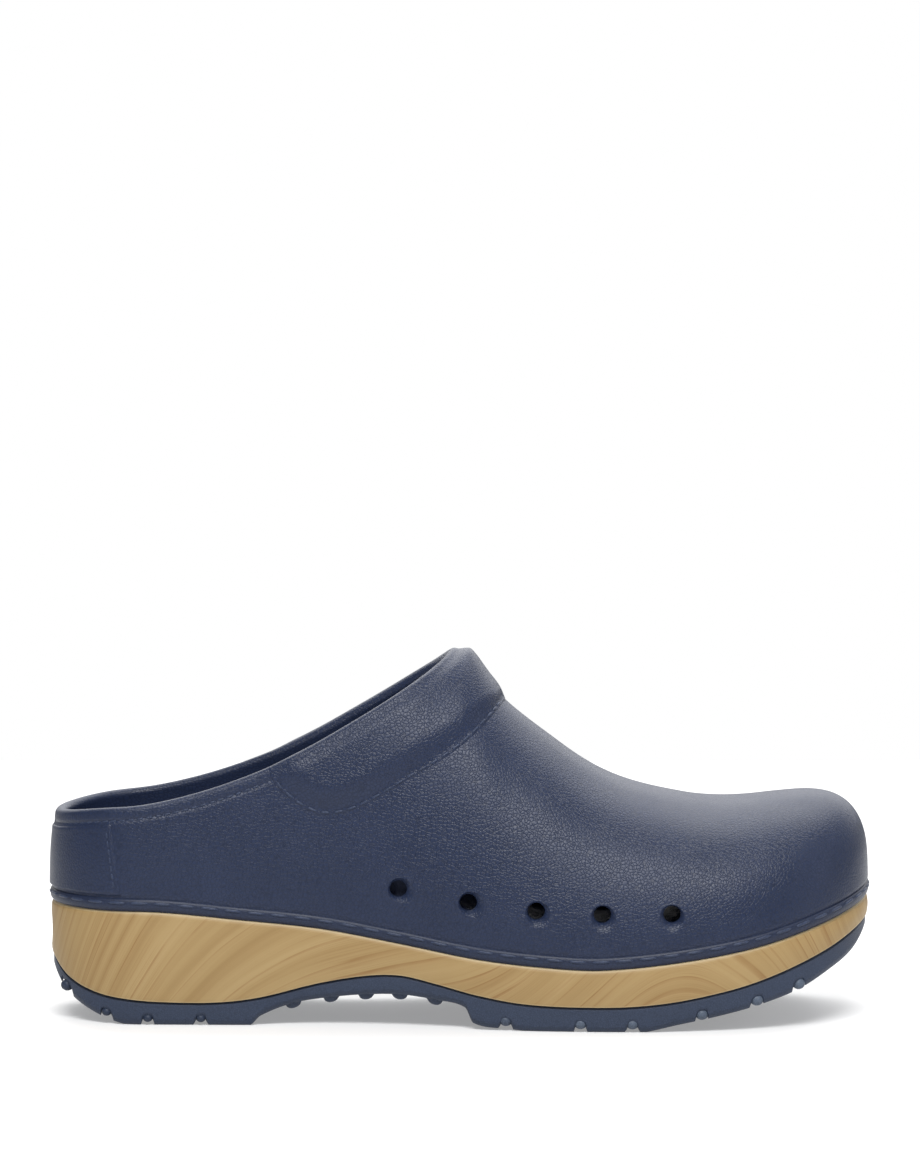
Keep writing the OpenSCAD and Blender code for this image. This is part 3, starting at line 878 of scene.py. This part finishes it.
# ---------------------------------------------------------------- footbed
def make_footbed():
    end = HALF - FOOTBED_INSET
    xs = stations(end - 0.05, 0.8)
    inset = FOOTBED_INSET
    base = top_z(xs) + SEAT
    room = rise(xs, inset) - SEAT
    edge = np.minimum(curve(FOOTBED_EDGE, station(xs)), 0.93 * room)
    thick = np.minimum(4.5, edge)
    w = {s: half_width(xs, s, inset) for s in (-1, 1)}
    n, m = curve(ACROSS, station(xs)), curve(UPWARD, station(xs))
    made = Builder()
    levels = np.linspace(0, 1, 14)
    walls = {}
    for side in (-1, 1):
        h = edge[:, None] * levels
        y = (np.clip(1 - (h / np.maximum(room, 0.05)[:, None]) ** m[:, None], 0, 1)) ** (1 / n[:, None])
        lean = 0.8 * levels * closing(xs, inset, HEEL_PLAN, TOE_PLAN)[:, None]
        ribs = 0.35 * (0.5 + 0.5 * np.cos(2 * np.pi * xs / 2.4))[:, None] * smooth(0.12, 0.3, levels) * (
            1 - smooth(0.86, 0.97, levels))
        reach = np.maximum(w[side][:, None] * y - (lean + ribs) * np.minimum(1, w[side][:, None] / 6), 0)
        walls[side] = np.stack([np.repeat(xs[:, None], 14, 1), centre(xs)[:, None] + side * reach,
                                base[:, None] + h], -1)
    q = -np.cos(np.linspace(0, np.pi, 92))[1:-1]
    a, b = walls[-1][:, -1, 1], walls[1][:, -1, 1]
    y = a[:, None] + (b - a)[:, None] * (1 + q) / 2
    raised = 1 - (1 - np.abs(q) ** 7) * smooth(1.0, 9.0, xs + end)[:, None]
    z = base[:, None] + thick[:, None] + (edge - thick)[:, None] * raised
    x = np.repeat(xs[:, None], len(q), 1)
    # Rows of shallow dimples where the foot rests
    pitch = 4.6
    row = np.round(y / (pitch * 0.866))
    u = x / pitch - 0.5 * (row % 2)
    near = np.hypot((u - np.round(u)) * pitch, y - row * pitch * 0.866)
    inside = (1 - smooth(0.78, 0.88, np.abs(q)))[None, :] * smooth(end, end - 8, np.abs(x))
    z = z - 0.35 * np.clip(1 - (near / 1.15) ** 2, 0, 1) * inside
    top = made.add(np.stack([x, y, z], -1))
    left, right = made.add(walls[-1]), made.add(walls[1])
    made.grid(np.concatenate([left, top, right[:, ::-1]], 1))
    made.grid(np.stack([right[:, 0], left[:, 0]], 1))
    for k in (0, -1):
        made.cap([*left[k], *top[k], *right[k][::-1]])
    return made.make("lift_out_footbed")


# ---------------------------------------------------------------- materials
def srgb(r, g, b):
    """Linear RGBA colour from 8-bit values as they look on a screen."""
    def line(c):
        c /= 255
        return c / 12.92 if c <= 0.04045 else ((c + 0.055) / 1.055) ** 2.4

    return (line(r), line(g), line(b), 1.0)


class Nodes:
    """Short names for the nodes that the materials use."""

    def __init__(self, name):
        self.mat = bpy.data.materials.new(name)
        self.mat.use_nodes = True
        self.tree = self.mat.node_tree
        self.shader = self.tree.nodes["Principled BSDF"]

    def new(self, kind, **settings):
        node = self.tree.nodes.new(kind)
        for key, value in settings.items():
            setattr(node, key, value)
        return node

    def link(self, a, b):
        self.tree.links.new(a, b)

    def noise(self, vector, scale, detail=3.0, rough=0.5):
        node = self.new("ShaderNodeTexNoise")
        node.inputs["Scale"].default_value = scale
        node.inputs["Detail"].default_value = detail
        node.inputs["Roughness"].default_value = rough
        self.link(vector, node.inputs["Vector"])
        return node.outputs["Fac"]

    def ramp(self, value, stops):
        """Colour ramp with stops of (place, colour), where a colour may be a plain grey level."""
        node = self.new("ShaderNodeValToRGB")
        while len(node.color_ramp.elements) < len(stops):
            node.color_ramp.elements.new(0.5)
        for element, (place, colour) in zip(node.color_ramp.elements, stops):
            element.position = place
            element.color = (colour, colour, colour, 1) if isinstance(colour, (int, float)) else colour
        self.link(value, node.inputs["Fac"])
        return node.outputs["Color"]

    def math(self, kind, a, b=0.0):
        node = self.new("ShaderNodeMath", operation=kind)
        for socket, value in zip(node.inputs, (a, b)):
            if isinstance(value, (int, float)):
                socket.default_value = value
            else:
                self.link(value, socket)
        return node.outputs[0]

    def mix(self, kind, factor, a, b):
        node = self.new("ShaderNodeMix", data_type="RGBA", blend_type=kind)
        for socket, value in ((node.inputs["Factor"], factor), (node.inputs[6], a), (node.inputs[7], b)):
            if isinstance(value, (int, float, tuple)):
                socket.default_value = value
            else:
                self.link(value, socket)
        return node.outputs[2]

    def bump(self, height, strength, distance, normal=None):
        node = self.new("ShaderNodeBump")
        node.inputs["Strength"].default_value = strength
        node.inputs["Distance"].default_value = distance
        self.link(height, node.inputs["Height"])
        if normal is not None:
            self.link(normal, node.inputs["Normal"])
        return node.outputs["Normal"]

    def coords(self):
        return self.new("ShaderNodeTexCoord").outputs["Object"]


def grain_cells(n, scale):
    """Pebbles of moulded leather: the height is full inside a cell and falls off in the creases."""
    co = n.coords()
    warp = n.new("ShaderNodeTexNoise")
    warp.inputs["Scale"].default_value = scale * 0.6
    n.link(co, warp.inputs["Vector"])
    shift = n.new("ShaderNodeVectorMath", operation="SCALE")
    shift.inputs["Scale"].default_value = 0.0009
    n.link(warp.outputs["Color"], shift.inputs[0])
    moved = n.new("ShaderNodeVectorMath", operation="ADD")
    n.link(co, moved.inputs[0])
    n.link(shift.outputs[0], moved.inputs[1])
    cells = n.new("ShaderNodeTexVoronoi", feature="DISTANCE_TO_EDGE")
    cells.inputs["Scale"].default_value = scale
    n.link(moved.outputs[0], cells.inputs["Vector"])
    return n.ramp(cells.outputs["Distance"], [(0.0, 0), (0.12, 0.7), (0.45, 1)]), co


def foam(name, colour, roughness, grain, scale=900.0, heel_colour=None):
    """Moulded foam with a leather grain. The heel half takes the heel colour, if there is one."""
    n = Nodes(name)
    cells, co = grain_cells(n, scale)
    patches = n.noise(co, 55, 4)
    dark = (*(c * 0.95 for c in colour[:3]), 1)
    light = (*(c * 1.05 for c in colour[:3]), 1)
    base = n.ramp(patches, [(0.3, dark), (0.7, light)])
    if heel_colour:
        split = n.new("ShaderNodeSeparateXYZ")
        n.link(co, split.inputs[0])
        toe = n.new("ShaderNodeMapRange")
        n.link(split.outputs[0], toe.inputs["Value"])
        toe.inputs["From Min"].default_value, toe.inputs["From Max"].default_value = -0.02, 0.04
        base = n.mix("MIX", toe.outputs["Result"], heel_colour, base)
    # Painted shade: the colour darkens in the creases between the pebbles.
    crease_painted_shade = n.mix("MULTIPLY", 0.35, base, cells)
    n.link(crease_painted_shade, n.shader.inputs["Base Color"])
    fine = n.noise(co, 4200, 2)
    mottled = n.math("ADD", n.math("MULTIPLY", patches, 0.12), roughness - 0.06)
    n.link(mottled, n.shader.inputs["Roughness"])
    first = n.bump(cells, 0.48 * grain, 0.00025)
    n.link(n.bump(fine, 0.12, 0.00006, first), n.shader.inputs["Normal"])
    n.shader.inputs["Specular IOR Level"].default_value = 0.3
    return n.mat


def wood_look():
    """Printed wood: growth rings that follow the midsole's growth value, and fine pores along them."""
    n = Nodes("wood_look_foam")
    growth = n.new("ShaderNodeAttribute", attribute_name="growth").outputs["Fac"]
    co = n.coords()
    split = n.new("ShaderNodeSeparateXYZ")
    n.link(co, split.inputs[0])
    wander = n.noise(co, 22, 2)
    bent = n.math("ADD", growth, n.math("MULTIPLY", wander, 3.0))

    def along_grain(across, along, detail):
        place = n.new("ShaderNodeCombineXYZ")
        n.link(n.math("MULTIPLY", bent, across), place.inputs[0])
        n.link(n.math("MULTIPLY", split.outputs[0], along), place.inputs[1])
        n.link(n.math("MULTIPLY", split.outputs[1], along * 0.4), place.inputs[2])
        return n.noise(place.outputs[0], 1.0, detail, 0.55)

    broad = along_grain(0.16, 7.0, 3.0)
    base = n.ramp(broad, [(0.3, srgb(144, 118, 77)), (0.5, srgb(153, 128, 86)), (0.7, srgb(161, 137, 95))])
    # Growth rings: the wood darkens slowly over each ring and ends in a thin late-wood line
    wavy = n.math("ADD", bent, n.math("MULTIPLY", along_grain(0.16, 5.0, 2.0), 9.0))
    count = n.math("MULTIPLY", wavy, 0.23)
    ring = n.ramp(n.math("FRACT", count), [(0.0, 0.1), (0.1, 0), (0.72, 0.12), (0.93, 1), (1.0, 0.1)])
    each = n.new("ShaderNodeTexWhiteNoise", noise_dimensions="1D")
    n.link(n.math("FLOOR", count), each.inputs["W"])
    seen = n.ramp(each.outputs["Value"], [(0.2, 0.05), (0.97, 0.8)])
    patch = n.ramp(n.noise(co, 60, 2), [(0.35, 0.35), (0.65, 1)])
    strength = n.math("MULTIPLY", n.math("MULTIPLY", ring, seen), patch)
    ringed = n.mix("MIX", strength, base, srgb(124, 86, 46))
    # Here and there the rings crowd into fine lines
    finer = n.math("FRACT", n.math("MULTIPLY", count, 4.3))
    close = n.ramp(finer, [(0.0, 0), (0.6, 0), (0.85, 1), (1.0, 0)])
    crowd = n.ramp(n.noise(co, 38, 2), [(0.48, 0), (0.62, 1)])
    lined = n.mix("MIX", n.math("MULTIPLY", n.math("MULTIPLY", close, crowd), 0.3), ringed, srgb(130, 96, 56))
    thin = along_grain(2.9, 26.0, 2.0)
    pores = n.ramp(thin, [(0.3, 1), (0.46, 0)])
    grained = n.mix("MIX", n.math("MULTIPLY", pores, 0.16), lined, srgb(134, 103, 63))
    # Painted highlight: a pale line along the band's top and bottom edges, where the chamfers catch the
    # light.
    edge = n.new("ShaderNodeAttribute", attribute_name="edge").outputs["Fac"]
    done = n.mix("MIX", n.math("MULTIPLY", edge, 0.6), grained, srgb(205, 190, 155))
    n.link(done, n.shader.inputs["Base Color"])
    n.shader.inputs["Roughness"].default_value = 0.52
    n.shader.inputs["Specular IOR Level"].default_value = 0.3
    n.link(n.bump(thin, 0.06, 0.0001), n.shader.inputs["Normal"])
    return n.mat


def give(piece, material, body, slot, *nodes):
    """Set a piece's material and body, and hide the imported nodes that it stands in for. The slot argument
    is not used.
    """
    piece.data.materials.clear()
    piece.data.materials.append(material)
    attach(piece, body)
    if nodes:
        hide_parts(*nodes)


# ---------------------------------------------------------------- the clog
upper_foam = foam("upper_foam", srgb(34, 44, 69), roughness=0.39, grain=0.7)
edge_foam = foam("welt_foam", srgb(34, 43, 66), roughness=0.46, grain=0.3)
# Painted highlight: the stitches are coloured lighter than the upper, standing in for the light that the
# raised stitches catch.
stitch_foam_painted_highlight = foam("stitch_foam_painted_highlight", srgb(50, 60, 84), roughness=0.42, grain=0.2)
tread_rubber = foam("tread_rubber", srgb(50, 60, 80), roughness=0.55, grain=0.4, scale=1500)
# Painted highlight: the toe nubs are coloured pale for the light from the floor that they catch; the heel
# nubs keep the darker rubber colour.
nub_rubber_painted_highlight = foam("nub_rubber_painted_highlight", srgb(84, 95, 112), roughness=0.5, grain=0.2, scale=1500,
                  heel_colour=srgb(44, 54, 74))
insole_foam = foam("insole_foam", srgb(38, 46, 70), roughness=0.62, grain=0.5, scale=1400)
wood = wood_look()

upper = make_upper()
cut_out(upper, make_vent_cutters())
upper.data.set_sharp_from_angle(angle=math.radians(38))
give(upper, upper_foam, "shoe", "upper", "upper_shell")
give(make_collar(), upper_foam, "shoe", "upper", "instep_collar")
give(make_counter(), upper_foam, "shoe", "upper", "heel_counter")
give(make_welt(), edge_foam, "shoe", "upper", "welt")
for row in make_stitches():
    give(row, stitch_foam_painted_highlight, "shoe", "upper")
give(make_midsole(), wood, "shoe", "midsole", "midsole")
badge = make_badge("heel_badge_plate", grow=0.0, back=1.4, front=2.4, rounded=0.35)
give(badge, wood, "shoe", "midsole", "heel_badge")
give(make_outsole(), tread_rubber, "shoe", "outsole", "outsole")
give(make_tread_nubs(), nub_rubber_painted_highlight, "shoe", "outsole")
give(make_footbed(), insole_foam, "insert", "footbed", "footbed")

# ---------------------------------------------------------------- floor, light and camera
floor_data = bpy.data.meshes.new("studio_floor")
reach = 0.8
corners = [(-reach, -reach, 0), (reach, -reach, 0), (reach, reach, 0), (-reach, reach, 0)]
floor_data.from_pydata(corners, [], [(0, 1, 2, 3)])
floor = bpy.data.objects.new("studio_floor", floor_data)
bpy.context.collection.objects.link(floor)
paper = Nodes("studio_paper")
paper.shader.inputs["Base Color"].default_value = (0.62, 0.62, 0.62, 1)
paper.shader.inputs["Roughness"].default_value = 0.9
paper.shader.inputs["Specular IOR Level"].default_value = 0.0
paper.shader.inputs["Emission Color"].default_value = (1, 1, 1, 1)
paper.shader.inputs["Emission Strength"].default_value = 0.3
floor_data.materials.append(paper.mat)

bpy.context.scene.view_settings.view_transform = "Standard"
world = bpy.data.worlds.new("studio_world")
world.use_nodes = True
# The backdrop looks white, and lights the object less than it shows
background = world.node_tree.nodes["Background"]
background.inputs["Color"].default_value = (1, 1, 1, 1)
seen = world.node_tree.nodes.new("ShaderNodeLightPath")
level = world.node_tree.nodes.new("ShaderNodeMapRange")
level.inputs["To Min"].default_value = 0.2
level.inputs["To Max"].default_value = 1.0
world.node_tree.links.new(seen.outputs["Is Camera Ray"], level.inputs["Value"])
world.node_tree.links.new(level.outputs["Result"], background.inputs["Strength"])
bpy.context.scene.world = world


def soft_light(name, place, target, size, power):
    """Rectangular area light that points at a target and isn't seen by the camera."""
    data = bpy.data.lights.new(name, "AREA")
    data.shape, data.size, data.size_y, data.energy = "RECTANGLE", size[0], size[1], power
    light = bpy.data.objects.new(name, data)
    bpy.context.collection.objects.link(light)
    light.location = place
    light.rotation_mode = "QUATERNION"
    light.rotation_quaternion = (Vector(target) - Vector(place)).to_track_quat("-Z", "Y")
    light.visible_camera = False


soft_light("overhead", (0.15, 0.6, 1.2), (0, 0, 0.06), (1.6, 0.8), 17)
soft_light("front", (-0.05, -0.9, 1.1), (0.03, 0, 0.05), (0.8, 0.45), 21)
soft_light("behind", (0.1, 1.3, 0.75), (0, 0, 0.1), (2.4, 1.1), 14)
soft_light("toe_side", (1.3, -0.3, 0.6), (0.1, 0, 0.06), (0.6, 0.6), 2.5)

lens = bpy.data.cameras.new("camera")
camera = bpy.data.objects.new("camera", lens)
bpy.context.collection.objects.link(camera)
lens.sensor_width, lens.lens, lens.clip_start, lens.clip_end = 36, 191, 0.05, 30
camera.location = (0, -2.0, 0.29)
camera.rotation_mode = "QUATERNION"
looks_at = Vector((0, 0, 0.1443))
camera.rotation_quaternion = (looks_at - camera.location).to_track_quat("-Z", "Y")
bpy.context.scene.camera = camera
